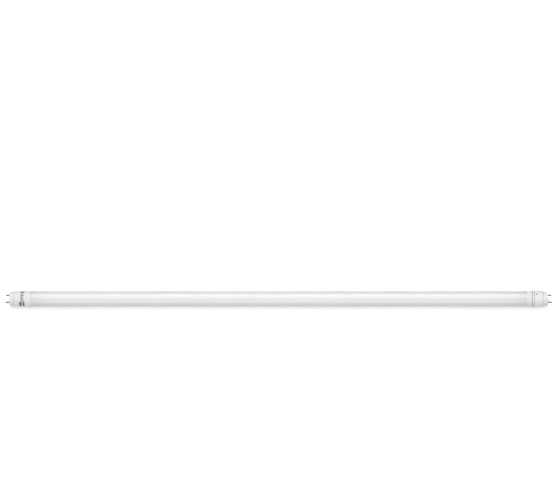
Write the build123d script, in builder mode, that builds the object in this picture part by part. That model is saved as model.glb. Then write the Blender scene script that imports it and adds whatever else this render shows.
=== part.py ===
from build123d import *

import os
from math import radians, sqrt, tan

# LED tube lamp: an opal glass tube with a two-pin cap glued on each end. An LED strip is
# bonded along the bottom of its bore, and a driver board feeds it from one end.
#
# Millimetres. The origin is on the tube's axis, half way between the caps. X runs along
# the tube towards the feed end. Y runs across it, in line with the two pins of each cap.
# Z points up, the way the LEDs face when the heavier strip side lies underneath.

# Lamp, to the standard sizes of a 900 mm tube
cap_face_span = 894.6
glass_diameter = 26.0
pin_spacing = 12.7
pin_diameter = 2.35
pin_reach = 7.1

# Glass tube
glass_wall = 0.9
glass_lip_radius = 0.3
glass_end_play = 0.2

# End cap, one moulding used at both ends
cap_length = 35.2
sleeve_wall = 0.5
glue_thickness = 0.12
glue_inset = 2.0
glass_seat_depth = 15.0
collar_length = 7.7
collar_step = 1.5
collar_wall = 1.0
collar_edge_radius = 1.4
step_edge_radius = 1.2
step_groove_width = 0.6
step_groove_depth = 0.4
mouth_edge_chamfer = 0.2
end_wall = 1.8
boss_wall = 1.05
boss_height = 3.4
gusset_thickness = 1.0
rail_grip = 1.3
rail_thickness = 0.9

# Contact pin, a hollow turned pin that is flared over its boss
pin_shoulder = 0.275
pin_recess_gap = 0.65
pin_recess_depth = 0.4
pin_wall = 0.4
pin_tip_radius = 0.7
pin_tip_wall = 1.2
pin_flare_lip = 0.55
pin_flare_thickness = 0.5
pin_crimp_reach = 3.5
pin_dent_depth = 0.22
pin_dent_radius = 0.7

# LED strip, its silicone bed and its LED packages
strip_width = 10.0
strip_thickness = 0.8
strip_edge_play = 0.05
strip_far_inset = 20.0
strip_driver_gap = 4.0
strip_pad_inset = 2.0
strip_glue_margin = 0.4
led_count = 72
led_string_count = 6
led_end_margin = 6.0
led_length = 3.5
led_width = 2.8
led_height = 0.7
led_frame_rim = 0.35
led_window_depth = 0.3
led_window_set_back = 0.05
led_corner_chamfer = 0.5

# Driver board in the feed end, and the insulating sleeve round it
driver_sleeve_wall = 0.25
driver_sleeve_play = 0.3
driver_sleeve_overhang = 1.5
board_thickness = 1.0
board_drop = 4.0
board_play = 0.15
board_edge_play = 0.3
board_pin_gap = 0.5
board_end_margin = 1.5
feed_pad_inset = 10.0
part_gap = 1.0
part_stand_off = 0.6
part_lead_diameter = 0.6

# Parts on the driver board
fuse_diameter = 3.2
fuse_length = 9.0
fuse_lead_reach = 1.2
varistor_diameter = 7.5
varistor_thickness = 3.6
film_length = 9.0
film_width = 5.0
film_height = 8.0
choke_diameter = 7.0
choke_height = 8.0
choke_core_diameter = 3.6
choke_flange = 1.2
choke_winding_inset = 0.4
bulk_diameter = 9.5
bulk_length = 16.0
bulk_lead_reach = 1.4
transformer_length = 10.0
transformer_height = 10.0
transformer_core_width = 5.5
transformer_winding_width = 11.0
transformer_limb = 2.4
output_diameter = 6.3
output_height = 10.0
can_edge_radius = 0.6
can_groove_radius = 0.5
can_groove_inset = 2.2
package_taper = 6.0
package_foot_reach = 1.0
package_foot_thickness = 0.5
bridge_length = 4.9
bridge_width = 4.1
bridge_height = 1.6
chip_length = 4.9
chip_width = 3.9
chip_height = 1.5

# Wires and the solder pads that they end on
wire_diameter = 1.3
conductor_diameter = 0.6
wire_seat_gap = 0.03
wire_end_gap = 0.3
wire_straight = 3.0
far_link_reach = 6.0
feed_pad_spacing = 10.7
output_pad_spacing = 5.2
pad_length = 2.6
pad_width = 1.8

# Radii of the glass and the cap, worked out from the sizes above
glass_radius = glass_diameter / 2
glass_bore_radius = glass_radius - glass_wall
cap_bore_radius = glass_radius + glue_thickness
sleeve_radius = cap_bore_radius + sleeve_wall
collar_radius = sleeve_radius - collar_step
step_groove_radius = collar_radius - step_groove_depth
cavity_radius = collar_radius - collar_wall
glass_length = cap_face_span - 2 * (glass_seat_depth + glass_end_play)

pin_radius = pin_diameter / 2
pin_shank_radius = pin_radius + pin_shoulder
pin_bore_radius = pin_radius - pin_wall
boss_end = end_wall + boss_height
pin_tail = boss_end + pin_flare_thickness

# Places along the driver board, as distances from its outer edge
fuse_half_reach = fuse_length / 2 + fuse_lead_reach + part_lead_diameter / 2
feed_pads_end = feed_pad_inset + pad_length / 2
fuse_at = feed_pads_end + part_gap + fuse_half_reach
varistor_at = feed_pads_end + part_gap + varistor_diameter / 2
film_at = varistor_at + varistor_diameter / 2 + part_gap + film_length / 2
choke_at = fuse_at + fuse_half_reach + part_gap + choke_diameter / 2
filter_end = max(film_at + film_length / 2, choke_at + choke_diameter / 2)
bulk_start = filter_end + part_gap + bulk_lead_reach + part_lead_diameter / 2
bulk_at = bulk_start + bulk_length / 2
transformer_at = bulk_start + bulk_length + part_gap + transformer_length / 2
output_at = transformer_at + transformer_length / 2 + part_gap + output_diameter / 2
output_pads_at = output_at + output_diameter / 2 + part_gap + pad_length / 2
board_length = output_pads_at + pad_length / 2 + board_end_margin

# Places across the driver board
filter_row_y = (film_width + part_gap) / 2 + part_gap
choke_row_y = -(choke_diameter + part_gap) / 2
fuse_row_y = -(feed_pad_spacing + pad_width) / 2 + fuse_diameter / 2

# The board's seat: in the cap's rails at one end and in the driver sleeve
board_top = -board_drop + board_thickness / 2
board_bottom = board_top - board_thickness
board_near = pin_tail + board_pin_gap
board_far = board_near + board_length
driver_sleeve_radius = glass_bore_radius - driver_sleeve_play
driver_sleeve_bore_radius = driver_sleeve_radius - driver_sleeve_wall
board_edge_radius = min(driver_sleeve_bore_radius, cavity_radius) - board_edge_play
board_half_width = sqrt(board_edge_radius**2 - board_bottom**2)
driver_sleeve_start = glass_seat_depth + glass_end_play + driver_sleeve_overhang
driver_sleeve_end = board_far + driver_sleeve_overhang

# The strip's seat on the bottom of the bore, and its LEDs
strip_bottom = -sqrt((glass_bore_radius - strip_edge_play) ** 2 - (strip_width / 2) ** 2)
strip_top = strip_bottom + strip_thickness
strip_feed_inset = driver_sleeve_end + strip_driver_gap
strip_length = cap_face_span - strip_far_inset - strip_feed_inset
strip_start = strip_far_inset - cap_face_span / 2
strip_pads_end = strip_pad_inset + pad_length
leds_in_string = led_count // led_string_count
led_row_length = strip_length - 2 * led_end_margin - strip_pads_end
led_pitch = led_row_length / (leds_in_string * led_string_count - 1)

# Solder pads fill the space under a bare wire end
pad_thickness = (wire_diameter - conductor_diameter) / 2

feed, far = 1, -1
ends = ((feed, "feed"), (far, "far"))
left, right = 1, -1
sides = ((left, "left"), (right, "right"))


def along(end, depth):
    """X at a depth inside one cap's end face."""
    return end * (cap_face_span / 2 - depth)


def across(end, depth):
    """The plane square to the tube at a depth inside one cap's end face."""
    return Plane.YZ.offset(along(end, depth))


def on_board(distance):
    """X at a distance from the driver board's outer edge."""
    return along(feed, board_near + distance)


def rim(part, x, radius):
    """A turned piece's round edges at one place along the tube."""
    return [
        edge
        for edge in part.edges().filter_by(GeomType.CIRCLE)
        if abs(edge.arc_center.X - x) < 0.001 and abs(edge.radius - radius) < 0.001
    ]


def bend_radii(points):
    """Arcs as large as the runs beside each corner leave room for."""
    radii = []
    for before, corner, after in zip(points, points[1:], points[2:]):
        run_in = Vector(*corner) - Vector(*before)
        run_out = Vector(*after) - Vector(*corner)
        half_turn = radians(run_in.get_angle(run_out)) / 2
        radii.append(0.45 * min(run_in.length, run_out.length) / tan(half_turn))
    return radii


os.makedirs("parts", exist_ok=True)

# Glass tube, fire-polished at both ends
with BuildPart() as glass_tube:
    with BuildSketch(Plane.YZ.offset(-glass_length / 2)):
        Circle(glass_radius)
        Circle(glass_bore_radius, mode=Mode.SUBTRACT)
    extrude(amount=glass_length)
    fillet(glass_tube.edges().filter_by(GeomType.CIRCLE), glass_lip_radius)
glass_tube.part.label = "glass_tube"
export_step(glass_tube.part, "parts/glass_tube.step")

# End caps: a stepped cup with a line round its step, a seat for the glass, pin bosses and
# the board's rails
for end, end_name in ends:
    with BuildPart() as end_cap:
        with BuildSketch(Plane.XZ):
            with BuildLine():
                Polyline(
                    (along(end, 0), 0),
                    (along(end, 0), collar_radius),
                    (along(end, collar_length - step_groove_width), collar_radius),
                    (along(end, collar_length - step_groove_width), step_groove_radius),
                    (along(end, collar_length), step_groove_radius),
                    (along(end, collar_length), sleeve_radius),
                    (along(end, cap_length), sleeve_radius),
                    (along(end, cap_length), cap_bore_radius),
                    (along(end, glass_seat_depth), cap_bore_radius),
                    (along(end, glass_seat_depth), cavity_radius),
                    (along(end, end_wall), cavity_radius),
                    (along(end, end_wall), 0),
                    close=True,
                )
            make_face()
        revolve(axis=Axis.X)
        fillet(rim(end_cap, along(end, 0), collar_radius), collar_edge_radius)
        fillet(rim(end_cap, along(end, collar_length), sleeve_radius), step_edge_radius)
        chamfer(rim(end_cap, along(end, cap_length), sleeve_radius), mouth_edge_chamfer)

        # Pin bosses, each tied to the wall by a gusset
        with BuildSketch(across(end, end_wall)):
            Circle(cavity_radius + collar_wall / 2)
            Rectangle(2 * sleeve_radius, gusset_thickness, mode=Mode.INTERSECT)
            Rectangle(pin_spacing, gusset_thickness, mode=Mode.SUBTRACT)
            with Locations((pin_spacing / 2, 0), (-pin_spacing / 2, 0)):
                Circle(pin_shank_radius + boss_wall)
        extrude(amount=-end * boss_height)

        # Two pairs of rails that hold the driver board's edges
        with BuildSketch(across(end, end_wall)):
            Circle(cavity_radius + collar_wall / 2)
            with Locations((0, -board_drop)):
                rail_gap = board_thickness + 2 * board_play
                Rectangle(2 * sleeve_radius, rail_gap + 2 * rail_thickness, mode=Mode.INTERSECT)
                Rectangle(2 * sleeve_radius, rail_gap, mode=Mode.SUBTRACT)
            Rectangle(
                2 * (board_half_width - rail_grip),
                2 * sleeve_radius,
                mode=Mode.SUBTRACT,
            )
        extrude(amount=-end * (glass_seat_depth - end_wall))

        # Pin holes through the bosses, each with a recess in the end face
        with BuildSketch(across(end, 0)):
            with Locations((pin_spacing / 2, 0), (-pin_spacing / 2, 0)):
                Circle(pin_shank_radius)
        extrude(amount=-end * boss_end, mode=Mode.SUBTRACT)
        with BuildSketch(across(end, 0)):
            with Locations((pin_spacing / 2, 0), (-pin_spacing / 2, 0)):
                Circle(pin_shank_radius + pin_recess_gap)
        extrude(amount=-end * pin_recess_depth, mode=Mode.SUBTRACT)
    end_cap.part.label = f"end_cap_{end_name}"
    export_step(end_cap.part, f"parts/{end_cap.part.label}.step")

# Contact pins: hollow, round-tipped, and dented on two sides to grip the wire inside
for end, end_name in ends:
    for side, side_name in sides:
        pin_y = side * pin_spacing / 2
        with BuildPart() as contact_pin:
            with BuildSketch(Plane.XY):
                with BuildLine():
                    Polyline(
                        (along(end, -pin_reach), pin_y),
                        (along(end, -pin_reach), pin_y + pin_radius),
                        (along(end, pin_recess_depth), pin_y + pin_radius),
                        (along(end, pin_recess_depth), pin_y + pin_shank_radius),
                        (along(end, boss_end), pin_y + pin_shank_radius),
                        (along(end, boss_end), pin_y + pin_shank_radius + pin_flare_lip),
                        (along(end, pin_tail), pin_y + pin_shank_radius + pin_flare_lip),
                        (along(end, pin_tail), pin_y + pin_bore_radius),
                        (along(end, pin_tip_wall - pin_reach), pin_y + pin_bore_radius),
                        (along(end, pin_tip_wall - pin_reach), pin_y),
                        close=True,
                    )
                make_face()
            revolve(axis=Axis((0, pin_y, 0), (1, 0, 0)))
            fillet(rim(contact_pin, along(end, -pin_reach), pin_radius), pin_tip_radius)
            dent_x = along(end, -pin_crimp_reach)
            dent_height = pin_radius - pin_dent_depth + pin_dent_radius
            with Locations((dent_x, pin_y, dent_height), (dent_x, pin_y, -dent_height)):
                Sphere(pin_dent_radius, mode=Mode.SUBTRACT)
        contact_pin.part.label = f"contact_pin_{end_name}_{side_name}"
        export_step(contact_pin.part, f"parts/{contact_pin.part.label}.step")

# Glue rings that bond the glass into the caps' sleeves
for end, end_name in ends:
    with BuildPart() as cap_glue:
        with BuildSketch(across(end, glass_seat_depth + glue_inset)):
            Circle(cap_bore_radius)
            Circle(glass_radius, mode=Mode.SUBTRACT)
        extrude(amount=-end * (cap_length - glass_seat_depth - 2 * glue_inset))
    cap_glue.part.label = f"cap_glue_{end_name}"
    export_step(cap_glue.part, f"parts/{cap_glue.part.label}.step")

# LED strip board
with BuildPart() as strip_board:
    with BuildSketch(Plane.XY.offset(strip_bottom)):
        with Locations((strip_start + strip_length / 2, 0)):
            Rectangle(strip_length, strip_width)
    extrude(amount=strip_thickness)
strip_board.part.label = "strip_board"
export_step(strip_board.part, "parts/strip_board.step")

# Silicone that beds the strip board in the round of the bore
with BuildPart() as strip_glue:
    with BuildSketch(Plane.YZ.offset(strip_start)):
        Circle(glass_bore_radius)
        with Locations((0, strip_bottom)):
            Rectangle(
                strip_width - 2 * strip_glue_margin,
                glass_bore_radius,
                align=(Align.CENTER, Align.MAX),
                mode=Mode.INTERSECT,
            )
    extrude(amount=strip_length)
strip_glue.part.label = "strip_glue"
export_step(strip_glue.part, "parts/strip_glue.step")

# LED packages: a white frame with one marked corner round a window of phosphor
with BuildSketch() as led_outline:
    Rectangle(led_length, led_width)
    chamfer(led_outline.vertices().group_by(Axis.X)[-1].sort_by(Axis.Y)[-1], led_corner_chamfer)
with BuildSketch() as led_window:
    Rectangle(led_length - 2 * led_frame_rim, led_width - 2 * led_frame_rim)

for string in range(led_string_count):
    first_led = strip_start + led_end_margin + string * leds_in_string * led_pitch
    led_places = [(first_led + n * led_pitch, 0) for n in range(leds_in_string)]

    with BuildPart() as led_frames:
        with BuildSketch(Plane.XY.offset(strip_top)):
            with Locations(led_places):
                add(led_outline.sketch)
        extrude(amount=led_height)
        with BuildSketch(Plane.XY.offset(strip_top + led_height)):
            with Locations(led_places):
                add(led_window.sketch)
        extrude(amount=-led_window_depth, mode=Mode.SUBTRACT)
    led_frames.part.label = f"led_frames_string_{string + 1}"
    export_step(led_frames.part, f"parts/{led_frames.part.label}.step")

    with BuildPart() as led_phosphors:
        with BuildSketch(Plane.XY.offset(strip_top + led_height - led_window_depth)):
            with Locations(led_places):
                add(led_window.sketch)
        extrude(amount=led_window_depth - led_window_set_back)
    led_phosphors.part.label = f"led_phosphors_string_{string + 1}"
    export_step(led_phosphors.part, f"parts/{led_phosphors.part.label}.step")

# Insulating sleeve round the driver board
with BuildPart() as driver_sleeve:
    with BuildSketch(across(feed, driver_sleeve_start)):
        Circle(driver_sleeve_radius)
        Circle(driver_sleeve_bore_radius, mode=Mode.SUBTRACT)
    extrude(amount=-feed * (driver_sleeve_end - driver_sleeve_start))
driver_sleeve.part.label = "driver_sleeve"
export_step(driver_sleeve.part, "parts/driver_sleeve.step")

# Driver board
with BuildPart() as driver_board:
    with BuildSketch(Plane.XY.offset(board_bottom)):
        with Locations((on_board(board_length / 2), 0)):
            Rectangle(board_length, 2 * board_half_width)
    extrude(amount=board_thickness)
driver_board.part.label = "driver_board"
export_step(driver_board.part, "parts/driver_board.step")

# Fuse resistor: a barrel with rounded ends on two bent leads
fuse_axis_z = board_top + part_stand_off + fuse_diameter / 2
with BuildPart() as fuse_resistor:
    with BuildSketch(Plane.YZ.offset(on_board(fuse_at) - fuse_length / 2)):
        with Locations((fuse_row_y, fuse_axis_z)):
            Circle(fuse_diameter / 2)
    extrude(amount=fuse_length)
    fillet(fuse_resistor.edges().filter_by(GeomType.CIRCLE), can_edge_radius)
    for side, side_name in sides:
        lead_root = on_board(fuse_at) + side * (fuse_length / 2 - can_edge_radius)
        lead_bend = on_board(fuse_at) + side * (fuse_length / 2 + fuse_lead_reach)
        with BuildLine():
            fuse_lead = FilletPolyline(
                (lead_root, fuse_row_y, fuse_axis_z),
                (lead_bend, fuse_row_y, fuse_axis_z),
                (lead_bend, fuse_row_y, board_top),
                radius=part_lead_diameter,
            )
        with BuildSketch(Plane(origin=fuse_lead @ 0, z_dir=fuse_lead % 0)):
            Circle(part_lead_diameter / 2)
        sweep(path=fuse_lead)
fuse_resistor.part.label = "fuse_resistor"
export_step(fuse_resistor.part, "parts/fuse_resistor.step")

# Varistor: a coated disc standing on two leads
varistor_radius = varistor_diameter / 2
with BuildPart() as varistor:
    with BuildSketch(Plane.XZ.offset(-filter_row_y - varistor_thickness / 2)):
        with Locations((on_board(varistor_at), board_top + part_stand_off + varistor_radius)):
            Circle(varistor_radius)
    extrude(amount=varistor_thickness)
    fillet(varistor.edges().filter_by(GeomType.CIRCLE), varistor_thickness / 4)
    with BuildSketch(Plane.XY.offset(board_top)):
        with Locations((on_board(varistor_at), filter_row_y)):
            with GridLocations(varistor_radius, 0, 2, 1):
                Circle(part_lead_diameter / 2)
    extrude(amount=part_stand_off + varistor_radius)
varistor.part.label = "varistor"
export_step(varistor.part, "parts/varistor.step")

# Film capacitor: a potted box on two feet
with BuildPart() as film_capacitor:
    with BuildSketch(Plane.XY.offset(board_top)):
        with Locations((on_board(film_at), filter_row_y)):
            RectangleRounded(film_length, film_width, can_edge_radius)
    extrude(amount=film_height)
    with BuildSketch(Plane.XY.offset(board_top)):
        with Locations((on_board(film_at), filter_row_y)):
            Rectangle(film_length / 2, film_width)
    extrude(amount=part_stand_off, mode=Mode.SUBTRACT)
film_capacitor.part.label = "film_capacitor"
export_step(film_capacitor.part, "parts/film_capacitor.step")

# Line choke: a ferrite bobbin, and the winding in its waist
with BuildPart() as line_choke_core:
    with BuildSketch(Plane.XY.offset(board_top)):
        with Locations((on_board(choke_at), choke_row_y)):
            Circle(choke_core_diameter / 2)
    extrude(amount=choke_height)
    for flange_bottom in (board_top, board_top + choke_height - choke_flange):
        with BuildSketch(Plane.XY.offset(flange_bottom)):
            with Locations((on_board(choke_at), choke_row_y)):
                Circle(choke_diameter / 2)
        extrude(amount=choke_flange)
line_choke_core.part.label = "line_choke_core"
export_step(line_choke_core.part, "parts/line_choke_core.step")

with BuildPart() as line_choke_winding:
    with BuildSketch(Plane.XY.offset(board_top + choke_flange)):
        with Locations((on_board(choke_at), choke_row_y)):
            Circle(choke_diameter / 2 - choke_winding_inset)
            Circle(choke_core_diameter / 2, mode=Mode.SUBTRACT)
    extrude(amount=choke_height - 2 * choke_flange)
line_choke_winding.part.label = "line_choke_winding"
export_step(line_choke_winding.part, "parts/line_choke_winding.step")

# Bulk capacitor: a can lying on the board, with its crimped end and leads to the feed side
bulk_radius = bulk_diameter / 2
bulk_axis_z = board_top + bulk_radius
bulk_crimped_end = on_board(bulk_start)
with BuildPart() as bulk_capacitor:
    with BuildSketch(Plane.YZ.offset(bulk_crimped_end)):
        with Locations((0, bulk_axis_z)):
            Circle(bulk_radius)
    extrude(amount=-feed * bulk_length)
    fillet(bulk_capacitor.edges().filter_by(GeomType.CIRCLE), can_edge_radius)
    with BuildSketch(Plane.XZ):
        with Locations((bulk_crimped_end - feed * can_groove_inset, bulk_axis_z + bulk_radius)):
            Circle(can_groove_radius)
    revolve(axis=Axis((0, 0, bulk_axis_z), (1, 0, 0)), mode=Mode.SUBTRACT)
    for side, side_name in sides:
        lead_y = side * bulk_radius / 2
        lead_bend = bulk_crimped_end + feed * bulk_lead_reach
        with BuildLine():
            bulk_lead = FilletPolyline(
                (bulk_crimped_end, lead_y, bulk_axis_z),
                (lead_bend, lead_y, bulk_axis_z),
                (lead_bend, lead_y, board_top),
                radius=part_lead_diameter,
            )
        with BuildSketch(Plane(origin=bulk_lead @ 0, z_dir=bulk_lead % 0)):
            Circle(part_lead_diameter / 2)
        sweep(path=bulk_lead)
bulk_capacitor.part.label = "bulk_capacitor"
export_step(bulk_capacitor.part, "parts/bulk_capacitor.step")

# Transformer: a ferrite frame with a centre limb, and the taped winding round that limb
window_length = transformer_length - 2 * transformer_limb
window_height = transformer_height - 2 * transformer_limb
with BuildPart() as transformer_core:
    with BuildSketch(Plane.XZ.offset(-transformer_core_width / 2)):
        with Locations((on_board(transformer_at), board_top + transformer_height / 2)):
            Rectangle(transformer_length, transformer_height)
            Rectangle(window_length, window_height, mode=Mode.SUBTRACT)
            Rectangle(transformer_limb, transformer_height)
    extrude(amount=transformer_core_width)
transformer_core.part.label = "transformer_core"
export_step(transformer_core.part, "parts/transformer_core.step")

with BuildPart() as transformer_winding:
    with BuildSketch(Plane.XY.offset(board_top + transformer_limb)):
        with Locations((on_board(transformer_at), 0)):
            RectangleRounded(window_length, transformer_winding_width, transformer_limb / 2)
            Rectangle(transformer_limb, transformer_core_width, mode=Mode.SUBTRACT)
    extrude(amount=window_height)
transformer_winding.part.label = "transformer_winding"
export_step(transformer_winding.part, "parts/transformer_winding.step")

# Output capacitor: a can standing on the board, crimped near its foot
output_radius = output_diameter / 2
with BuildPart() as output_capacitor:
    with BuildSketch(Plane.XY.offset(board_top)):
        with Locations((on_board(output_at), 0)):
            Circle(output_radius)
    extrude(amount=output_height)
    fillet(output_capacitor.edges().group_by(Axis.Z)[-1], can_edge_radius)
    with BuildSketch(Plane.XZ):
        with Locations((on_board(output_at) + output_radius, board_top + can_groove_inset)):
            Circle(can_groove_radius)
    revolve(axis=Axis((on_board(output_at), 0, 0), (0, 0, 1)), mode=Mode.SUBTRACT)
output_capacitor.part.label = "output_capacitor"
export_step(output_capacitor.part, "parts/output_capacitor.step")

# Bridge rectifier and control chip: moulded packages with feet, under the board
packages = (
    ("bridge_rectifier", varistor_at, bridge_length, bridge_width, bridge_height, 2),
    ("control_chip", bulk_at, chip_length, chip_width, chip_height, 4),
)
for package_name, package_at, length, width, height, feet_a_side in packages:
    foot_width = length / (2 * feet_a_side + 1)
    with BuildPart() as package:
        with BuildSketch(Plane.XY.offset(board_bottom)):
            with Locations((on_board(package_at), 0)):
                Rectangle(length, width)
        extrude(amount=-height, taper=package_taper)
        with BuildSketch(Plane.XY.offset(board_bottom)):
            with Locations((on_board(package_at), 0)):
                with GridLocations(2 * foot_width, 0, feet_a_side, 1):
                    Rectangle(foot_width, width + 2 * package_foot_reach)
        extrude(amount=-package_foot_thickness)
    package.part.label = package_name
    export_step(package.part, f"parts/{package_name}.step")

# Solder pads on the two boards, under the bare wire ends
board_pads = [(on_board(feed_pad_inset), side * feed_pad_spacing / 2) for side in (left, right)]
board_pads += [(on_board(output_pads_at), side * output_pad_spacing / 2) for side in (left, right)]
with BuildPart() as driver_solder_pads:
    with BuildSketch(Plane.XY.offset(board_top)):
        with Locations(board_pads):
            Rectangle(pad_length, pad_width)
    extrude(amount=pad_thickness)
driver_solder_pads.part.label = "driver_solder_pads"
export_step(driver_solder_pads.part, "parts/driver_solder_pads.step")

strip_pads_x = along(feed, strip_feed_inset + strip_pads_end - pad_length / 2)
with BuildPart() as strip_solder_pads:
    with BuildSketch(Plane.XY.offset(strip_top)):
        with Locations([(strip_pads_x, side * output_pad_spacing / 2) for side in (left, right)]):
            Rectangle(pad_length, pad_width)
    extrude(amount=pad_thickness)
strip_solder_pads.part.label = "strip_solder_pads"
export_step(strip_solder_pads.part, "parts/strip_solder_pads.step")

# Wires. Each is an insulated run with bare ends, on a route of straight runs and arcs.
wire_lift = wire_diameter / 2 + wire_seat_gap
pin_wire_start = pin_tail + wire_end_gap
pin_bare_length = pin_wire_start + pin_crimp_reach
pad_bare_length = pad_length - wire_end_gap
wires = []

# From each feed pin down to its pad on the driver board
feed_pads_start = board_near + feed_pad_inset - pad_length / 2
for side, side_name in sides:
    pin_y = side * pin_spacing / 2
    pad_y = side * feed_pad_spacing / 2
    feed_route = [
        (along(feed, pin_wire_start), pin_y, 0),
        (along(feed, pin_wire_start + wire_straight), pin_y, 0),
        (along(feed, feed_pads_start - wire_straight), pad_y, board_top + wire_lift),
        (along(feed, feed_pads_start), pad_y, board_top + wire_lift),
    ]
    wires.append((f"feed_wire_{side_name}", feed_route, pin_bare_length, pad_bare_length))

# From each output pad on the driver board down to the strip's end
output_start = board_near + output_pads_at + pad_length / 2
strip_pads_start = strip_feed_inset + strip_pad_inset
for side, side_name in ((left, "positive"), (right, "negative")):
    pad_y = side * output_pad_spacing / 2
    output_route = [
        (along(feed, output_start), pad_y, board_top + wire_lift),
        (along(feed, output_start + wire_straight), pad_y, board_top + wire_lift),
        (along(feed, strip_pads_start - wire_straight), pad_y, strip_top + wire_lift),
        (along(feed, strip_pads_start), pad_y, strip_top + wire_lift),
    ]
    wires.append((f"output_wire_{side_name}", output_route, pad_bare_length, pad_bare_length))

# A loop that joins the far cap's two pins, which carry no supply
link_start, link_turn = along(far, pin_wire_start), along(far, pin_tail + far_link_reach)
link_route = [
    (link_start, pin_spacing / 2, 0),
    (link_turn, pin_spacing / 2, 0),
    (link_turn, -pin_spacing / 2, 0),
    (link_start, -pin_spacing / 2, 0),
]
wires.append(("far_link_wire", link_route, pin_bare_length, pin_bare_length))

for wire_name, route, first_bare_length, last_bare_length in wires:
    with BuildPart() as wire:
        with BuildLine():
            run = FilletPolyline(*route, radius=bend_radii(route))
        with BuildSketch(Plane(origin=run @ 0, z_dir=run % 0)):
            Circle(wire_diameter / 2)
        sweep(path=run)
        with BuildSketch(Plane(origin=run @ 0, z_dir=-(run % 0))):
            Circle(conductor_diameter / 2)
        extrude(amount=first_bare_length)
        with BuildSketch(Plane(origin=run @ 1, z_dir=run % 1)):
            Circle(conductor_diameter / 2)
        extrude(amount=last_bare_length)
    wire.part.label = wire_name
    export_step(wire.part, f"parts/{wire_name}.step")
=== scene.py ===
from math import ceil, cos, pi, radians, sin, tan
from random import Random

import bmesh
import bpy
from mathutils import Matrix, Vector


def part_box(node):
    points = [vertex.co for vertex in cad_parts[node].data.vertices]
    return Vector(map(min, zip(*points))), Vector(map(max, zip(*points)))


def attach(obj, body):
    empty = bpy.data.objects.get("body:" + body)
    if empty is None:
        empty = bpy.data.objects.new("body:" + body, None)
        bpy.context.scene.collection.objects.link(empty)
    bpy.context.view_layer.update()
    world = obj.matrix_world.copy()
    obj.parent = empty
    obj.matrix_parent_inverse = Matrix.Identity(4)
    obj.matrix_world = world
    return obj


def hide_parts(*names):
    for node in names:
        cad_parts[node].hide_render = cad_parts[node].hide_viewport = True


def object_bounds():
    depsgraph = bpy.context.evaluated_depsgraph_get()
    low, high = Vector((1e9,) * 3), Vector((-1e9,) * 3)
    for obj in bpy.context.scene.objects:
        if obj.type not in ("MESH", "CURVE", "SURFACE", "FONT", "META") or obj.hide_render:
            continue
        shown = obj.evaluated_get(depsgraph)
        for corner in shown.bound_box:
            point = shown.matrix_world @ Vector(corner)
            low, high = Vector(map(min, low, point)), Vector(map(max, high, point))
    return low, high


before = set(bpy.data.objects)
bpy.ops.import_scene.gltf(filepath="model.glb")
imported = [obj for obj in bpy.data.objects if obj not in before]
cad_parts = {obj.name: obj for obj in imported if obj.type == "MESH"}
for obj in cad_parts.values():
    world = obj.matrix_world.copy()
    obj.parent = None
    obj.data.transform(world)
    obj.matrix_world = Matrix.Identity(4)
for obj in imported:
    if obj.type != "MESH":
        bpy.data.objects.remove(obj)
cad_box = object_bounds()

# An LED tube lamp on a white ground. Lengths are metres, written as so many mm. X runs along
# the tube to its feed end, Y across it in line with the pins, and Z up.
mm = 0.001

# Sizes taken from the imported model
glass_low, glass_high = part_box("glass_tube")
cap_low, cap_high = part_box("end_cap_feed")
half_glass = glass_high.x
glass_radius = glass_high.z
cap_face = cap_high.x
cap_mouth = cap_low.x
sleeve_radius = cap_high.z
floor_height = cad_box[0].z

# Glass tube
glass_wall = 0.9 * mm
lip_radius = 0.3 * mm
lip_support = 1.0 * mm
lip_segments = 4
lip_corner = radians(45)
glass_steps = 144
glass_spans = 12

# Painted shade on the glass: it greys towards each cap, where little light gets in behind the caps
glass_white = (0.81, 0.81, 0.81)
glass_end_shade_share = 0.86
glass_end_shade_length = 22 * mm
powder_shade = (0.6, 0.6, 0.6)

# Caps: the grain of their plastic, and painted shade in the line round each step, placed
# by its depth from the cap's end face
plastic_grain = 0.22 * mm
scuff_shade = (0.76, 0.76, 0.75)
step_line_depth = 7.4 * mm
step_line_half_width = 0.36 * mm
step_line_painted_shade = (0.66, 0.66, 0.65)

# Print on the caps. Depths are from a cap's end face, and angles from the top to the front.
ink_height = 0.03 * mm
ink_sink = 0.03 * mm
ink_step = radians(3)

# Plain bars on the far cap: depth, length along the cap, first angle and last angle
far_blocks = (
    (18.5 * mm, 6.0 * mm, radians(-33), radians(-18)),
    (16.9 * mm, 3.9 * mm, radians(46), radians(84)),
    (22.3 * mm, 2.9 * mm, radians(46), radians(84)),
)
rung_count = 6
rung_first = radians(-12)
rung_pitch = radians(9.5)
rung_width = radians(6)
rung_depth = 19.2 * mm
rung_lengths = (3.0 * mm, 5.4 * mm)

# Dashed rings and a dot on the feed cap
ring_depths = (23.0 * mm, 26.3 * mm)
ring_widths = (0.9 * mm, 1.1 * mm)
dash_gaps = (1.1 * mm, 0.5 * mm)
ring_first = radians(-72)
ring_last = radians(122)
dash_shortest = 0.8 * mm
dash_longest = 2.4 * mm
dash_seed = 7
dot_depth = 19.3 * mm
dot_angle = radians(-8.5)
dot_radius = 1.2 * mm
dot_segments = 24

# Metals and board core that several inner parts share
tin = (0.72, 0.72, 0.7)
aluminium = (0.78, 0.79, 0.8)
laminate_core = (0.56, 0.55, 0.33)

# Depth to which a finish on one face reaches round its edge
skin = 0.05 * mm

# LED strip: its packages, and the white mask with a gap over the copper under each
led_length = 3.5 * mm
leds_in_string = 12
led_foot = 0.4 * mm
mask_gap_half_width = 0.2 * mm
mask_half_width = 4.4 * mm
mask_height = 0.035 * mm
bare_strip = (0.82, 0.83, 0.8)
strip_weave = 0.7 * mm

# Driver board
board_weave = 0.8 * mm
track_pitch = 2.5 * mm
track_height = 0.035 * mm
track_green = (0.2, 0.5, 0.22)

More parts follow.
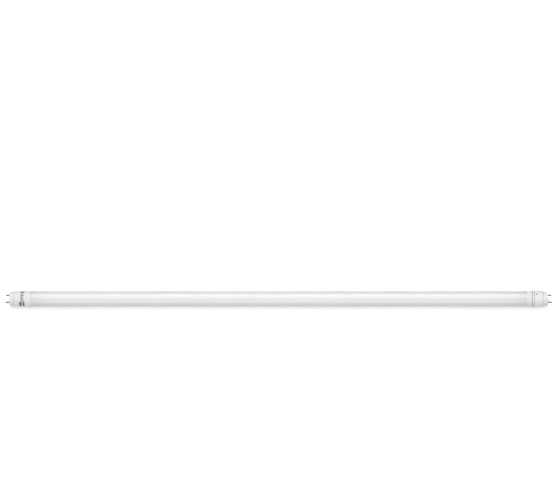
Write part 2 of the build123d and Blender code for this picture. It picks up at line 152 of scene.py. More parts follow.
# Parts on the driver board. A fuse ring has its share of the barrel's length and its colour.
fuse_lead_span = 1.5 * mm
fuse_ring_half_width = 0.35 * mm
fuse_rings = (
    (0.2, (0.3, 0.13, 0.05)),
    (0.35, (0.02, 0.02, 0.02)),
    (0.5, (0.02, 0.02, 0.02)),
    (0.75, (0.62, 0.45, 0.12)),
)
varistor_leg = 0.6 * mm
potting_depth = 0.65 * mm
turn_pitch = 0.3 * mm
turn_height = 0.12 * mm
# Width of the painted shade along the foot of the tape's step
tape_shade_width = 0.12 * mm
tape_step = 0.06 * mm
bulk_lead_span = 1.7 * mm
can_bare_share = 0.78
can_stripe_half_width = 0.9 * mm
can_score_half_width = 0.12 * mm
can_score_depth = 0.1 * mm
package_foot_reach = 1.0 * mm
dimple_inset = 0.9 * mm
dimple_radii = (0.35 * mm, 0.45 * mm)
dimple_depth = 0.15 * mm

# Wires: the bare length in a pin or on a pad, and the strands that show there
bare_in_pin = 9.5 * mm
bare_on_pad = 2.3 * mm
strand_pitch = 0.15 * mm
strand_height = 0.05 * mm

# The photograph's frame, in pixels, and the view of the tube in it
photo_width = 558
photo_height = 497
tube_centre_px = (278.7, 298.75)
cap_faces_px = 537.6
camera_elevation = radians(64.4)
camera_lens = 150
camera_sensor = 36

# Light, at a level where a colour renders about as it is written
floor_half_width = 4.0
floor_white = (0.92, 0.92, 0.92)
floor_bounce = (0.5, 0.5, 0.5)
floor_glow = 0.4
floor_glow_far = 1.0
floor_glow_span = (0.6, 1.4)
background_white = 1.0
room_light = 0.16
softbox_distance = 3.0
softbox_length = 2.4

# Weak softboxes past the ends of the tube, which keep the caps' end faces from going dark
end_elevation = radians(8)
end_width = 2.0
end_height = 1.0
end_radiance = 2.4

# Each long softbox: its height over the horizon in front, its width, both in degrees as seen
# from the tube, and its brightness. Past 90 degrees is behind the tube.
long_softboxes = (
    ("front_softbox", 20, 50, 1.8),
    ("overhead_softbox", 87, 40, 2.05),
    ("back_softbox", 122, 20, 4.6),
)


def set_input(tree, socket, value):
    """Gives an input socket a value, or a link from another socket."""
    if isinstance(value, bpy.types.NodeSocket):
        tree.links.new(value, socket)
    else:
        socket.default_value = value


def add_node(tree, kind, inputs, **settings):
    """Adds a node, with each input set to a value or linked to a socket."""
    made = tree.nodes.new(kind)
    for name, value in settings.items():
        setattr(made, name, value)
    for name, value in inputs.items():
        set_input(tree, made.inputs[name], value)
    return made


class Finish:
    """One surface finish: a shader, and patterns on object coordinates that feed it."""

    def __init__(self, name, colour, roughness, **shader_values):
        self.material = bpy.data.materials.new(name)
        self.material.use_nodes = True
        self.tree = self.material.node_tree
        self.shader = self.tree.nodes["Principled BSDF"]
        self.place = self.node("ShaderNodeTexCoord", {}).outputs["Object"]
        self.feed(base_color=(*colour, 1), roughness=roughness, **shader_values)

    def node(self, kind, inputs, **settings):
        return add_node(self.tree, kind, inputs, **settings)

    def feed(self, **shader_values):
        """Sets or links sockets of the shader: coat_weight is its Coat Weight."""
        sockets = {socket.name.lower().replace(" ", "_"): socket for socket in self.shader.inputs}
        for name, value in shader_values.items():
            set_input(self.tree, sockets[name], value)

    def present(self, name):
        """What one of the shader's sockets holds now: its link, its number or its colour."""
        socket = self.shader.inputs[name]
        if socket.links:
            return socket.links[0].from_socket
        if socket.type == "RGBA":
            return tuple(socket.default_value)[:3]
        return socket.default_value

    def math(self, operation, *values):
        return self.node("ShaderNodeMath", dict(enumerate(values)), operation=operation).outputs[0]

    def axis(self, letter):
        return self.node("ShaderNodeSeparateXYZ", {0: self.place}).outputs[letter]

    def inside(self, letter, low, high):
        """1 between two places along an axis, and 0 outside them."""
        return self.math("COMPARE", self.axis(letter), (low + high) / 2, (high - low) / 2)

    def from_place(self, letter, first, pitch):
        """Distance from the nearest of many places along an axis, a pitch apart."""
        return self.math("PINGPONG", self.math("SUBTRACT", self.axis(letter), first), pitch / 2)

    def from_line(self, letters, centre):
        """Distance from a straight line that runs square to two axes."""
        squares = [
            self.math("POWER", self.math("SUBTRACT", self.axis(letter), middle), 2)
            for letter, middle in zip(letters, centre)
        ]
        return self.math("SQRT", self.math("ADD", *squares))

    def noise(self, size, stretch=(1, 1, 1), detail=2.0):
        """Soft mottling, 0 to 1, whose patches are about size across."""
        scale = [1 / (size * share) for share in stretch]
        placed = self.node("ShaderNodeMapping", {"Vector": self.place, "Scale": scale})
        inputs = {"Vector": placed.outputs[0], "Scale": 1.0, "Detail": detail}
        return self.node("ShaderNodeTexNoise", inputs).outputs[0]

    def cells(self, size, stretch=(1, 1, 1), feature="F1"):
        """Distance from the nearest of many scattered points, size apart."""
        scale = [1 / (size * share) for share in stretch]
        placed = self.node("ShaderNodeMapping", {"Vector": self.place, "Scale": scale})
        inputs = {"Vector": placed.outputs[0], "Scale": 1.0}
        return self.node("ShaderNodeTexVoronoi", inputs, feature=feature).outputs["Distance"]

    def lines(self, letter, pitch):
        """Waves along an axis, 0 to 1, one for each pitch."""
        turns = self.math("MULTIPLY", self.axis(letter), 2 * pi / pitch)
        return self.math("MULTIPLY_ADD", self.math("SINE", turns), 0.5, 0.5)

    def between(self, value, low, high, new_low=0.0, new_high=1.0):
        """Moves a value's range to another, and holds it there."""
        inputs = {0: value, 1: low, 2: high, 3: new_low, 4: new_high}
        return self.node("ShaderNodeMapRange", inputs).outputs[0]

    def mix(self, share, first, second):
        """A colour between two colours."""
        colours = [(*c, 1) if isinstance(c, tuple) else c for c in (first, second)]
        inputs = {0: share, 6: colours[0], 7: colours[1]}
        return self.node("ShaderNodeMix", inputs, data_type="RGBA").outputs[2]

    def blend(self, share, first, second):
        """A number between two numbers."""
        return self.node("ShaderNodeMix", {0: share, 2: first, 3: second}).outputs[0]

    def relief(self, height, depth):
        """Raises the surface by up to depth where height is 1."""
        inputs = {"Height": height, "Distance": depth, "Strength": 1.0}
        if self.shader.inputs["Normal"].links:
            inputs["Normal"] = self.present("Normal")
        self.feed(normal=self.node("ShaderNodeBump", inputs).outputs[0])

    def mottle(self, size, light, dark, smooth, rough, relief):
        """Cloudy changes of colour and gloss, with a low relief."""
        cloud = self.noise(size, detail=3.0)
        self.feed(base_color=self.mix(self.between(cloud, 0.3, 0.7), light, dark))
        self.feed(roughness=self.between(cloud, 0.3, 0.7, smooth, rough))
        self.relief(cloud, relief)

    def paint(self, mask, colour, roughness, metallic=0.0):
        """Lays another finish over this one where a mask is 1."""
        self.feed(
            base_color=self.mix(mask, self.present("Base Color"), colour),
            roughness=self.blend(mask, self.present("Roughness"), roughness),
        )
        if self.present("Metallic") != metallic:
            self.feed(metallic=self.blend(mask, self.present("Metallic"), metallic))


def opal_glass():
    """Clear glass over a white diffusing coat, drawn along the tube, with painted shade that
    deepens towards each cap.
    """
    glass = Finish(
        "opal_glass", glass_white, 0.45, specular_ior_level=0.2,
        coat_weight=0.3, coat_roughness=0.12, coat_ior=2.4,
    )
    # Painted shade: the coat's white darkens towards each cap's mouth
    from_mouth = glass.math("SUBTRACT", cap_mouth, glass.math("ABSOLUTE", glass.axis("X")))
    fade = glass.math("EXPONENT", glass.math("MULTIPLY", from_mouth, -1 / glass_end_shade_length))
    end_shaded_white = tuple(glass_end_shade_share * c for c in glass_white)
    coat = glass.mix(fade, glass_white, end_shaded_white)
    powder = glass.between(glass.noise(1.6 * mm, detail=3.0), 0.35, 0.75, 0.0, 0.03)
    glass.feed(base_color=glass.mix(powder, coat, powder_shade))
    wipes = glass.noise(7 * mm, stretch=(9, 1, 1))
    glass.feed(roughness=glass.between(wipes, 0.3, 0.7, 0.42, 0.5))
    glass.relief(glass.noise(2.2 * mm, stretch=(60, 1, 1), detail=1.0), 0.006 * mm)
    return glass.material


def cap_plastic():
    """White moulded plastic with a satin grain, a few scuffs and painted shade in its step line.
    """
    light, dark = (0.885, 0.885, 0.88), (0.865, 0.865, 0.86)
    plastic = Finish("cap_plastic", light, 0.45, specular_ior_level=0.25)
    cloud = plastic.noise(5 * mm)
    plastic.feed(base_color=plastic.mix(cloud, light, dark))
    plastic.feed(roughness=plastic.between(cloud, 0.3, 0.7, 0.4, 0.5))
    plastic.relief(plastic.noise(plastic_grain, detail=3.0), 0.006 * mm)
    plastic.relief(plastic.noise(9 * mm), 0.02 * mm)
    lines = plastic.cells(5 * mm, stretch=(0.5, 1.6, 1.6), feature="DISTANCE_TO_EDGE")
    places = plastic.between(plastic.noise(2.6 * mm), 0.58, 0.7, 0.0, 0.7)
    scuffs = plastic.math("MULTIPLY", plastic.between(lines, 0.014, 0.0), places)
    plastic.paint(scuffs, scuff_shade, 0.6)
    # Painted shade in the line round each cap's step
    depth = plastic.math("SUBTRACT", cap_face, plastic.math("ABSOLUTE", plastic.axis("X")))
    line = plastic.math("COMPARE", depth, step_line_depth, step_line_half_width)
    plastic.paint(line, step_line_painted_shade, 0.65)
    return plastic.material


def pin_metal():
    """Dull nickel plate over turned brass, with rings left by the tool."""
    metal = Finish("pin_metal", (0.15, 0.15, 0.15), 0.35, metallic=1.0)
    tarnish = metal.noise(0.9 * mm, detail=4.0)
    metal.feed(base_color=metal.mix(tarnish, (0.12, 0.118, 0.114), (0.06, 0.06, 0.062)))
    metal.feed(roughness=metal.between(tarnish, 0.3, 0.7, 0.28, 0.46))
    metal.relief(metal.noise(0.08 * mm, stretch=(1, 40, 40), detail=1.0), 0.002 * mm)
    return metal.material


def print_ink():
    """Dark grey pad print, thin enough for the plastic's grain to show."""
    ink = Finish("print_ink", (0.12, 0.12, 0.125), 0.5)
    thin = ink.noise(0.5 * mm, detail=4.0)
    ink.feed(base_color=ink.mix(thin, (0.085, 0.085, 0.09), (0.17, 0.17, 0.175)))
    ink.feed(roughness=ink.between(thin, 0.3, 0.7, 0.42, 0.58))
    ink.relief(ink.noise(plastic_grain, detail=3.0), 0.004 * mm)
    return ink.material


def cured_rubber(name, colour, shade):
    """Cured adhesive: satin, lumpy and faintly streaked."""
    rubber = Finish(name, colour, 0.5)
    rubber.mottle(1.5 * mm, colour, shade, 0.35, 0.6, 0.08 * mm)
    return rubber.material


def solder():
    """Bright tin that has flowed, with a little amber flux left in its hollows."""
    metal = Finish("solder", tin, 0.2, metallic=1.0)
    metal.mottle(0.6 * mm, tin, (0.5, 0.49, 0.45), 0.14, 0.4, 0.1 * mm)
    flux = metal.between(metal.noise(1.1 * mm), 0.56, 0.62)
    metal.paint(flux, (0.42, 0.26, 0.08), 0.12)
    return metal.material


def led_places():
    """The first LED's middle along the strip, and the pitch of the LEDs."""
    low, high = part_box("led_frames_string_1")
    pitch = (high.x - low.x - led_length) / (leds_in_string - 1)
    return low.x + led_length / 2, pitch


def strip_mask():
    """White solder mask over the copper under each LED, on a laminate core."""
    low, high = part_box("strip_board")
    mask = Finish("strip_mask", (0.9, 0.9, 0.88), 0.35, coat_weight=0.3, coat_roughness=0.15)
    mask.mottle(2 * mm, (0.92, 0.92, 0.9), (0.87, 0.87, 0.85), 0.3, 0.42, 0.01 * mm)
    first, pitch = led_places()
    from_led = mask.from_place("X", first, pitch)
    gap = mask.math("LESS_THAN", from_led, mask_gap_half_width)
    edge = mask.math("GREATER_THAN", mask.math("ABSOLUTE", mask.axis("Y")), mask_half_width)
    bare = mask.math("MAXIMUM", gap, edge)
    mask.relief(mask.math("SUBTRACT", 1.0, bare), mask_height)
    mask.paint(mask.math("MULTIPLY", bare, 0.5), bare_strip, 0.4)
    weave = mask.math("MULTIPLY", mask.lines("X", strip_weave), mask.lines("Y", strip_weave))
    mask.relief(weave, 0.004 * mm)
    mask.paint(mask.inside("Z", low.z + skin, high.z - skin), laminate_core, 0.7)
    return mask.material


def led_frame():
    """White moulded LED packages with a tinned foot under each end."""
    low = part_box("led_frames_string_1")[0]
    plastic = Finish("led_frame", (0.93, 0.92, 0.88), 0.4)
    plastic.mottle(0.4 * mm, (0.94, 0.93, 0.9), (0.88, 0.87, 0.82), 0.34, 0.5, 0.01 * mm)
    first, pitch = led_places()
    from_middle = plastic.from_place("X", first, pitch)
    end = plastic.math("GREATER_THAN", from_middle, led_length / 2 - led_foot)
    foot = plastic.math("MULTIPLY", end, plastic.inside("Z", low.z - skin, low.z + led_foot))
    plastic.paint(foot, tin, 0.25, 1.0)
    return plastic.material


def led_phosphor():
    """Yellow phosphor grains in silicone."""
    gel = Finish("led_phosphor", (0.93, 0.76, 0.2), 0.3, coat_weight=0.4, coat_roughness=0.1)
    grain = gel.between(gel.cells(0.12 * mm), 0.1, 0.7)
    gel.feed(base_color=gel.mix(grain, (0.95, 0.8, 0.26), (0.86, 0.66, 0.12)))
    gel.feed(roughness=gel.between(grain, 0, 1, 0.25, 0.45))
    gel.relief(grain, 0.01 * mm)
    return gel.material


def board_laminate():
    """Green lacquer over copper tracks, with the glass weave showing through."""
    low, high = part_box("driver_board")
    board = Finish("board_laminate", (0.1, 0.32, 0.16), 0.3, coat_weight=0.4, coat_roughness=0.12)
    weave = board.math("MULTIPLY", board.lines("X", board_weave), board.lines("Y", board_weave))
    board.feed(base_color=board.mix(weave, (0.07, 0.26, 0.12), (0.1, 0.32, 0.16)))
    board.feed(roughness=board.between(board.noise(3 * mm), 0.3, 0.7, 0.26, 0.4))
    board.relief(weave, 0.006 * mm)
    row = board.between(board.lines("Y", track_pitch), 0.3, 0.36)
    run = board.between(board.noise(5 * mm, stretch=(2, 0.4, 1), detail=0.0), 0.48, 0.5)
    track = board.math("MULTIPLY", row, run)
    board.relief(track, track_height)
    board.paint(board.math("MULTIPLY", track, 0.8), track_green, 0.28)
    board.paint(board.inside("Z", low.z + skin, high.z - skin), laminate_core, 0.75)
    return board.material


def sleeve_film():
    """Milky film, drawn tight by heat, with fine wrinkles along it."""
    film = Finish("sleeve_film", (0.85, 0.86, 0.84), 0.25, coat_weight=0.5, coat_roughness=0.08)
    film.mottle(6 * mm, (0.87, 0.88, 0.86), (0.8, 0.81, 0.79), 0.2, 0.36, 0.05 * mm)
    film.relief(film.noise(1.2 * mm, stretch=(14, 1, 1)), 0.05 * mm)
    return film.material


def fuse_coat():
    """Grey-green lacquer with plain colour rings, on tinned leads."""
    low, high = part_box("fuse_resistor")
    start, end = low.x + fuse_lead_span, high.x - fuse_lead_span
    lacquer = Finish("fuse_coat", (0.35, 0.55, 0.5), 0.35, coat_weight=0.3, coat_roughness=0.2)
    lacquer.mottle(0.8 * mm, (0.38, 0.58, 0.53), (0.3, 0.48, 0.43), 0.28, 0.45, 0.03 * mm)
    for share, colour in fuse_rings:
        middle = end + share * (start - end)
        ring = lacquer.inside("X", middle - fuse_ring_half_width, middle + fuse_ring_half_width)
        lacquer.paint(ring, colour, 0.3)
    barrel = lacquer.inside("X", start, end)
    lacquer.paint(lacquer.math("SUBTRACT", 1.0, barrel), tin, 0.25, 1.0)
    return lacquer.material


def varistor_coat():
    """Blue dipped lacquer, thick and slightly dimpled, on tinned legs."""
    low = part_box("varistor")[0]
    lacquer = Finish("varistor_coat", (0.1, 0.2, 0.52), 0.4)
    lacquer.mottle(1.1 * mm, (0.11, 0.22, 0.56), (0.07, 0.15, 0.42), 0.3, 0.5, 0.07 * mm)
    lacquer.relief(lacquer.cells(0.5 * mm), 0.015 * mm)
    lacquer.paint(lacquer.inside("Z", low.z - skin, low.z + varistor_leg), tin, 0.25, 1.0)
    return lacquer.material


def film_case():
    """A red-brown moulded case, matt on its sides and potted with resin below."""
    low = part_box("film_capacitor")[0]
    case = Finish("film_case", (0.55, 0.12, 0.08), 0.4)
    case.mottle(1.3 * mm, (0.57, 0.13, 0.085), (0.48, 0.09, 0.06), 0.34, 0.5, 0.015 * mm)
    case.relief(case.noise(0.15 * mm), 0.006 * mm)
    potting = case.inside("Z", low.z - skin, low.z + potting_depth)
    case.paint(potting, (0.3, 0.07, 0.05), 0.15)
    return case.material


def ferrite():
    """Dark sintered ceramic with a gritty grain and paler chipped specks."""
    ceramic = Finish("ferrite", (0.11, 0.11, 0.12), 0.6)
    ceramic.mottle(0.5 * mm, (0.12, 0.12, 0.13), (0.08, 0.08, 0.09), 0.45, 0.7, 0.02 * mm)
    ceramic.relief(ceramic.cells(0.14 * mm), 0.012 * mm)
    specks = ceramic.between(ceramic.cells(0.7 * mm), 0.12, 0.08)
    ceramic.paint(specks, (0.22, 0.22, 0.23), 0.4)
    return ceramic.material


def winding_copper():
    """Turns of enamelled copper wire, laid one on the other, with painted shade in the grooves
    between them.
    """
    copper = Finish("winding_copper", (0.66, 0.34, 0.17), 0.25, metallic=1.0)
    turns = copper.lines("Z", turn_pitch)
    # Painted shade: the copper is darker where the turns' relief is low, between turns
    copper.feed(base_color=copper.mix(turns, (0.36, 0.15, 0.06), (0.72, 0.38, 0.19)))
    copper.feed(roughness=copper.between(copper.noise(1 * mm), 0.3, 0.7, 0.2, 0.36))
    copper.relief(turns, turn_height)
    return copper.material


def winding_tape():
    """Yellow polyester tape, wound in two bands that overlap, with painted shade along the foot of
    the upper band's edge.
    """
    low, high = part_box("transformer_winding")
    tape = Finish("winding_tape", (0.85, 0.7, 0.14), 0.3, coat_weight=0.4, coat_roughness=0.1)
    tape.mottle(2 * mm, (0.87, 0.72, 0.16), (0.78, 0.6, 0.1), 0.24, 0.4, 0.02 * mm)
    middle = (low.z + high.z) / 2
    band = tape.math("GREATER_THAN", tape.axis("Z"), middle)
    tape.relief(band, tape_step)
    tape.relief(tape.noise(0.8 * mm, stretch=(1, 1, 8)), 0.03 * mm)
    # Painted shade along the foot of the raised band's edge
    step_foot_shade = tape.inside("Z", middle - tape_shade_width, middle)
    tape.paint(step_foot_shade, (0.6, 0.46, 0.08), 0.45)
    return tape.material


def can_sleeve(name, node, along, letters, bare_end):
    """A dark shrunk sleeve with a pale stripe, open over the can's aluminium end."""
    low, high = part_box(node)
    across = ["XYZ".index(letter) for letter in letters]
    centre = [(low[n] + high[n]) / 2 for n in across]
    radius = (high[across[0]] - low[across[0]]) / 2
    sleeve = Finish(name, (0.07, 0.08, 0.11), 0.3, coat_weight=0.5, coat_roughness=0.1)
    sleeve.mottle(2 * mm, (0.075, 0.085, 0.115), (0.05, 0.06, 0.085), 0.24, 0.4, 0.02 * mm)
    side = sleeve.math("GREATER_THAN", sleeve.axis(letters[0]), centre[0])
    width = can_stripe_half_width
    band = sleeve.inside(letters[1], centre[1] - width, centre[1] + width)
    sleeve.paint(sleeve.math("MULTIPLY", side, band), (0.62, 0.64, 0.66), 0.3)
    end_plane = sleeve.inside(along, bare_end - skin, bare_end + skin)
    from_axis = sleeve.from_line(letters, centre)
    end_disc = sleeve.math("LESS_THAN", from_axis, can_bare_share * radius)
    bare = sleeve.math("MULTIPLY", end_plane, end_disc)
    sleeve.paint(bare, aluminium, 0.28, 1.0)
    width = can_score_half_width
    scores = [
        sleeve.inside(letter, middle - width, middle + width)
        for letter, middle in zip(letters, centre)
    ]
    score = sleeve.math("MULTIPLY", bare, sleeve.math("MAXIMUM", *scores))
    sleeve.relief(sleeve.math("SUBTRACT", 1.0, score), can_score_depth)
    return sleeve


def bulk_can():
    """The lying can: its bare end faces the far cap, and its leads the feed cap."""
    low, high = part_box("bulk_capacitor")
    sleeve = can_sleeve("bulk_can", "bulk_capacitor", "X", "YZ", low.x)
    leads = sleeve.math("GREATER_THAN", sleeve.axis("X"), high.x - bulk_lead_span)
    sleeve.paint(leads, tin, 0.25, 1.0)
    return sleeve.material


def output_can():
    """The standing can, bare on top."""
    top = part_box("output_capacitor")[1].z
    return can_sleeve("output_can", "output_capacitor", "Z", "XY", top).material


def chip_plastic(node):
    """A black moulded package with tinned feet and a dimple by its first foot."""
    low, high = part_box(node)
    plastic = Finish(f"{node}_plastic", (0.05, 0.05, 0.055), 0.5)
    plastic.mottle(0.3 * mm, (0.055, 0.055, 0.06), (0.04, 0.04, 0.045), 0.42, 0.62, 0.01 * mm)
    dimple_place = (low.x + dimple_inset, low.y + package_foot_reach + dimple_inset)
    from_dimple = plastic.from_line("XY", dimple_place)
    plastic.relief(plastic.between(from_dimple, *dimple_radii), dimple_depth)
    body = plastic.inside("Y", low.y + package_foot_reach, high.y - package_foot_reach)
    plastic.paint(plastic.math("SUBTRACT", 1.0, body), tin, 0.25, 1.0)
    return plastic.material


def wire_cover(node, colour, bare_low, bare_high):
    """Coloured insulation with a soft sheen, and tinned strands at its bare ends."""
    low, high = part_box(node)
    cover = Finish(f"{node}_cover", colour, 0.4)
    dark = tuple(0.8 * c for c in colour)
    cover.mottle(0.7 * mm, colour, dark, 0.32, 0.5, 0.02 * mm)
    covered = cover.inside("X", low.x + bare_low, high.x - bare_high)
    bare = cover.math("SUBTRACT", 1.0, covered)
    cover.paint(bare, tin, 0.3, 1.0)
    strands = cover.math("MULTIPLY", cover.lines("Y", strand_pitch), bare)
    cover.relief(strands, strand_height)
    return cover.material


def dress(material, *nodes):
    """Gives CAD nodes their finish."""
    for name in nodes:
        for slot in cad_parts[name].material_slots:
            slot.material = material


def mesh_piece(name, bm, material):
    """Makes a bmesh a finished piece that rides with the lamp."""
    for face in bm.faces:
        face.smooth = True
    mesh = bpy.data.meshes.new(name)
    bm.to_mesh(mesh)
    bm.free()
    mesh.materials.append(material)
    piece = bpy.data.objects.new(name, mesh)
    bpy.context.scene.collection.objects.link(piece)
    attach(piece, "root")
    return piece


def opal_tube():
    """The glass: a thin wall spun round the axis, with fire-polished lips."""
    bm = bmesh.new()
    corners = [
        bm.verts.new((side * half_glass, 0, radius))
        for side, radius in (
            (-1, glass_radius),
            (1, glass_radius),
            (1, glass_radius - glass_wall),
            (-1, glass_radius - glass_wall),
        )
    ]
    for start, end in zip(corners, corners[1:] + corners[:1]):
        bm.edges.new((start, end))
    bmesh.ops.spin(
        bm, geom=bm.verts[:] + bm.edges[:], cent=(0, 0, 0), axis=(1, 0, 0), dvec=(0, 0, 0),
        angle=2 * pi, steps=glass_steps, use_merge=True, use_duplicate=False,
    )
    bmesh.ops.recalc_face_normals(bm, faces=bm.faces[:])
    rims = [
        edge for edge in bm.edges
        if abs(edge.verts[0].co.x - edge.verts[1].co.x) < lip_radius
        and edge.calc_face_angle() > lip_corner
    ]
    bmesh.ops.bevel(
        bm, geom=rims, offset=lip_radius, offset_type="OFFSET", segments=lip_segments,
        profile=0.5, affect="EDGES", material=-1,
    )
    supported = half_glass - lip_radius - lip_support
    for n in range(glass_spans + 1):
        cut = -supported + n * 2 * supported / glass_spans
        bmesh.ops.bisect_plane(
            bm, geom=bm.verts[:] + bm.edges[:] + bm.faces[:],
            plane_co=(cut, 0, 0), plane_no=(1, 0, 0),
        )
    tube = mesh_piece("opal_tube", bm, opal_glass())
    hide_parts("glass_tube")


def print_bar(bm, end, depth, length, first, last):
    """A thin bar of ink on a cap's sleeve, bent round the cap between two angles."""
    x_outer = end * (cap_face - depth)
    x_inner = end * (cap_face - depth - length)
    r_low, r_high = sleeve_radius - ink_sink, sleeve_radius + ink_height
    turn = Matrix.Rotation(first, 4, "X")
    corners = [
        bm.verts.new(turn @ Vector((x, 0, r)))
        for x, r in ((x_outer, r_low), (x_outer, r_high), (x_inner, r_high), (x_inner, r_low))
    ]
    face = bm.faces.new(corners)
    bmesh.ops.spin(
        bm, geom=[*face.verts, *face.edges, face], cent=(0, 0, 0), axis=(1, 0, 0), dvec=(0, 0, 0),
        angle=last - first, steps=ceil((last - first) / ink_step), use_merge=False,
        use_duplicate=False,
    )


def far_cap_bars(ink):
    """Plain bars up the far cap: a ladder of rungs between broad blocks."""
    bm = bmesh.new()
    for depth, length, first, last in far_blocks:
        print_bar(bm, -1, depth, length, first, last)
    for n in range(rung_count):
        first = rung_first + n * rung_pitch
        length = rung_lengths[n % len(rung_lengths)]
        print_bar(bm, -1, rung_depth, length, first, first + rung_width)
    bmesh.ops.recalc_face_normals(bm, faces=bm.faces[:])
    mesh_piece("far_cap_bars", bm, ink)


def feed_cap_rings(ink):
    """Two dashed rings round the feed cap."""
    bm = bmesh.new()
    chance = Random(dash_seed)
    for depth, width, gap in zip(ring_depths, ring_widths, dash_gaps):
        angle = ring_first
        while angle < ring_last:
            dash = chance.uniform(dash_shortest, dash_longest) / sleeve_radius
            print_bar(bm, 1, depth - width / 2, width, angle, angle + dash)
            angle += dash + gap / sleeve_radius
    bmesh.ops.recalc_face_normals(bm, faces=bm.faces[:])
    mesh_piece("feed_cap_rings", bm, ink)


def feed_cap_dot(ink):
    """A round dot of ink, bent to the feed cap's sleeve."""
    bm = bmesh.new()
    bmesh.ops.create_circle(
        bm, cap_ends=True, cap_tris=True, segments=dot_segments, radius=dot_radius,
    )
    made = bmesh.ops.extrude_face_region(bm, geom=bm.faces[:])["geom"]
    raised = [item for item in made if isinstance(item, bmesh.types.BMVert)]
    bmesh.ops.translate(bm, verts=raised, vec=(0, 0, ink_sink + ink_height))
    bmesh.ops.recalc_face_normals(bm, faces=bm.faces[:])
    for vert in bm.verts:
        bend = Matrix.Rotation(dot_angle - vert.co.y / sleeve_radius, 4, "X")
        radius = sleeve_radius - ink_sink + vert.co.z
        vert.co = bend @ Vector((cap_face - dot_depth + vert.co.x, 0, radius))
    mesh_piece("feed_cap_dot", bm, ink)


def background_rays(tree):
    """1 for the rays that should find a white background, and 0 for light on the lamp."""
    rays = add_node(tree, "ShaderNodeLightPath", {}).outputs
    share = rays["Is Camera Ray"]
    for name in ("Is Glossy Ray", "Is Transmission Ray"):
        pair = {0: share, 1: rays[name]}
        share = add_node(tree, "ShaderNodeMath", pair, operation="MAXIMUM").outputs[0]
    return share


def make_floor():
    """A white floor that keeps the lamp's shadow, and fades into the white room."""
    bm = bmesh.new()
    bmesh.ops.create_grid(bm, x_segments=1, y_segments=1, size=floor_half_width)
    bmesh.ops.translate(bm, verts=bm.verts[:], vec=(0, 0, floor_height))
    mesh = bpy.data.meshes.new("floor")
    bm.to_mesh(mesh)
    bm.free()
    floor = bpy.data.objects.new("floor", mesh)
    bpy.context.scene.collection.objects.link(floor)

    material = bpy.data.materials.new("floor_white")
    material.use_nodes = True
    tree = material.node_tree
    seen = background_rays(tree)
    colours = {0: seen, 6: (*floor_bounce, 1), 7: (*floor_white, 1)}
    shade = add_node(tree, "ShaderNodeMix", colours, data_type="RGBA").outputs[2]
    place = add_node(tree, "ShaderNodeTexCoord", {}).outputs["Object"]
    reach = add_node(tree, "ShaderNodeVectorMath", {0: place}, operation="LENGTH")
    near, far = floor_glow_span
    spans = {0: reach.outputs["Value"], 1: near, 2: far, 3: floor_glow, 4: floor_glow_far}
    fade = add_node(tree, "ShaderNodeMapRange", spans).outputs[0]
    glow = add_node(tree, "ShaderNodeMath", {0: seen, 1: fade}, operation="MULTIPLY").outputs[0]
    sockets = tree.nodes["Principled BSDF"].inputs
    for name, value in (
        ("Base Color", shade),
        ("Roughness", 1.0),
        ("Specular IOR Level", 0.0),
        ("Emission Color", (1, 1, 1, 1)),
        ("Emission Strength", glow),
    ):
        set_input(tree, sockets[name], value)
    mesh.materials.append(material)


def make_world():
    """Dim room light on the lamp, and white wherever the background shows."""
    world = bpy.data.worlds.new("white_room")
    bpy.context.scene.world = world
    world.use_nodes = True
    tree = world.node_tree
    room = tree.nodes["Background"]
    room.inputs["Color"].default_value = (1, 1, 1, 1)
    room.inputs["Strength"].default_value = room_light
    shown = {"Color": (1, 1, 1, 1), "Strength": background_white}
    white = add_node(tree, "ShaderNodeBackground", shown)
    both = {0: background_rays(tree), 1: room.outputs[0], 2: white.outputs[0]}
    mix = add_node(tree, "ShaderNodeMixShader", both)
    tree.links.new(mix.outputs[0], tree.nodes["World Output"].inputs["Surface"])


def soft_light(name, direction, turn, length, width, radiance):
    """A softbox out in one direction from the tube, turned to face it."""
    light = bpy.data.lights.new(name, "AREA")
    light.shape = "RECTANGLE"
    light.size = length
    light.size_y = width
    light.energy = radiance * pi * length * width
    lamp = bpy.data.objects.new(name, light)
    bpy.context.scene.collection.objects.link(lamp)
    lamp.location = direction * softbox_distance
    lamp.rotation_euler = turn
    return lamp


def long_softbox(name, elevation, spread, radiance):
    """A long softbox over the tube, in line with it."""
    angle = radians(elevation)
    direction = Vector((0, -cos(angle), sin(angle)))
    width = 2 * softbox_distance * tan(radians(spread) / 2)
    soft_light(name, direction, (pi / 2 - angle, 0, 0), softbox_length, width, radiance)


def end_softbox(name, side):
    """A weak softbox past one end of the tube, which leaves no glare along the glass."""
    direction = Vector((side * cos(end_elevation), 0, sin(end_elevation)))
    turn = direction.to_track_quat("Z", "Y").to_euler()
    lamp = soft_light(name, direction, turn, end_width, end_height, end_radiance)
    lamp.visible_glossy = False


def place_camera():
    """Looks along the tube's own vertical plane, with the tube at its place in the frame."""
    metres_per_px = 2 * cap_face / cap_faces_px
    distance = photo_width * metres_per_px * camera_lens / camera_sensor
    back = Vector((0, -cos(camera_elevation), sin(camera_elevation)))
    right = Vector((1, 0, 0))
    up = Vector((0, sin(camera_elevation), cos(camera_elevation)))
    data = bpy.data.cameras.new("camera")
    data.lens = camera_lens
    data.sensor_width = camera_sensor
    camera = bpy.data.objects.new("camera", data)
    bpy.context.scene.collection.objects.link(camera)
    camera.location = (
        back * distance
        + right * (photo_width / 2 - tube_centre_px[0]) * metres_per_px
        + up * (tube_centre_px[1] - photo_height / 2) * metres_per_px
    )
    camera.rotation_euler = (pi / 2 - camera_elevation, 0, 0)
    bpy.context.scene.camera = camera


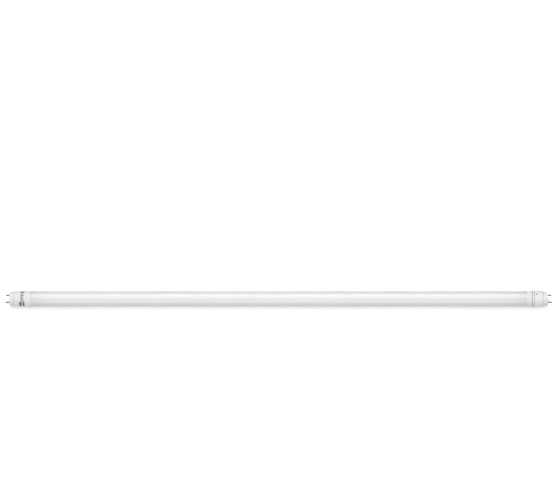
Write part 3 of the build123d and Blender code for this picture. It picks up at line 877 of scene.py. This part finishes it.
def named(start):
    """The CAD nodes whose names begin in one way."""
    return [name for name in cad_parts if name.startswith(start)]


# Stage
place_camera()
make_floor()
make_world()
for name, elevation, spread, radiance in long_softboxes:
    long_softbox(name, elevation, spread, radiance)
end_softbox("far_end_softbox", -1)
end_softbox("feed_end_softbox", 1)

# Outside of the lamp
opal_tube()
dress(cap_plastic(), *named("end_cap"))
dress(pin_metal(), *named("contact_pin"))
ink = print_ink()
far_cap_bars(ink)
feed_cap_rings(ink)
feed_cap_dot(ink)

# Glue, LED strip and its LEDs
dress(cured_rubber("cap_glue", (0.86, 0.85, 0.8), (0.78, 0.75, 0.66)), *named("cap_glue"))
dress(cured_rubber("silicone", (0.88, 0.88, 0.87), (0.8, 0.8, 0.79)), "strip_glue")
dress(strip_mask(), "strip_board")
dress(led_frame(), *named("led_frames"))
dress(led_phosphor(), *named("led_phosphors"))
dress(solder(), "strip_solder_pads", "driver_solder_pads")

# Driver board and its parts
dress(sleeve_film(), "driver_sleeve")
dress(board_laminate(), "driver_board")
dress(fuse_coat(), "fuse_resistor")
dress(varistor_coat(), "varistor")
dress(film_case(), "film_capacitor")
dress(ferrite(), "line_choke_core", "transformer_core")
dress(winding_copper(), "line_choke_winding")
dress(winding_tape(), "transformer_winding")
dress(bulk_can(), "bulk_capacitor")
dress(output_can(), "output_capacitor")
for package in ("bridge_rectifier", "control_chip"):
    dress(chip_plastic(package), package)

# Wires
wire_covers = (
    ("feed_wire_left", (0.3, 0.16, 0.08), bare_on_pad, bare_in_pin),
    ("feed_wire_right", (0.1, 0.25, 0.6), bare_on_pad, bare_in_pin),
    ("output_wire_positive", (0.6, 0.07, 0.06), bare_on_pad, bare_on_pad),
    ("output_wire_negative", (0.05, 0.05, 0.05), bare_on_pad, bare_on_pad),
    ("far_link_wire", (0.86, 0.86, 0.84), bare_in_pin, 0.0),
)
for node, colour, bare_low, bare_high in wire_covers:
    dress(wire_cover(node, colour, bare_low, bare_high), node)

bpy.context.scene.view_settings.view_transform = "Standard"
